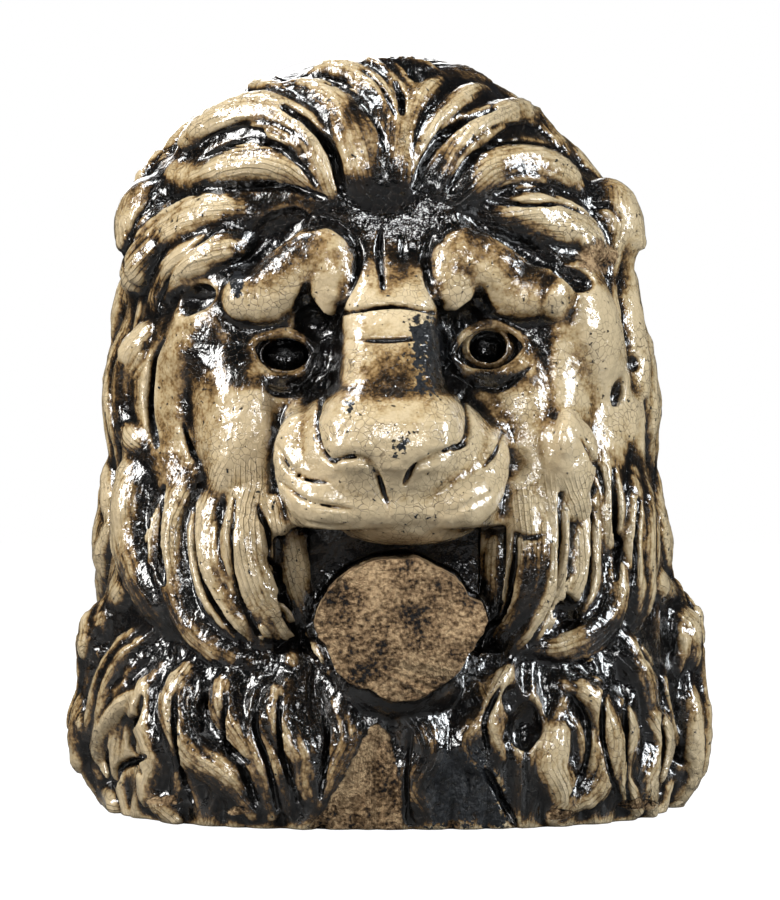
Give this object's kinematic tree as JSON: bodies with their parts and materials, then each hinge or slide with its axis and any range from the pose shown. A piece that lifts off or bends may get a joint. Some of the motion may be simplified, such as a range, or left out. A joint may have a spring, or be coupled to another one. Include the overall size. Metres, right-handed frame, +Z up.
{
  "type": "architectural lion head",
  "caption": "Glazed stoneware lion head with a full mane and collar of wavy locks, open mouth and broken lower jaw, standing on its flat underside.",
  "frame": {"origin": "middle of the flat underside's box", "axes": "+Z up, the face looks along -Y, +X towards the viewer's right"},
  "size_m": [0.3476, 0.3064, 0.4062],
  "materials": {
    "glazed_stoneware": "glossy cream and tan glaze, finely crazed, pooled near black in the grooves, with sandy unglazed breaks"
  },
  "bodies": {
    "root": {"lion_head": "glazed_stoneware"}
  },
  "joints": []
}
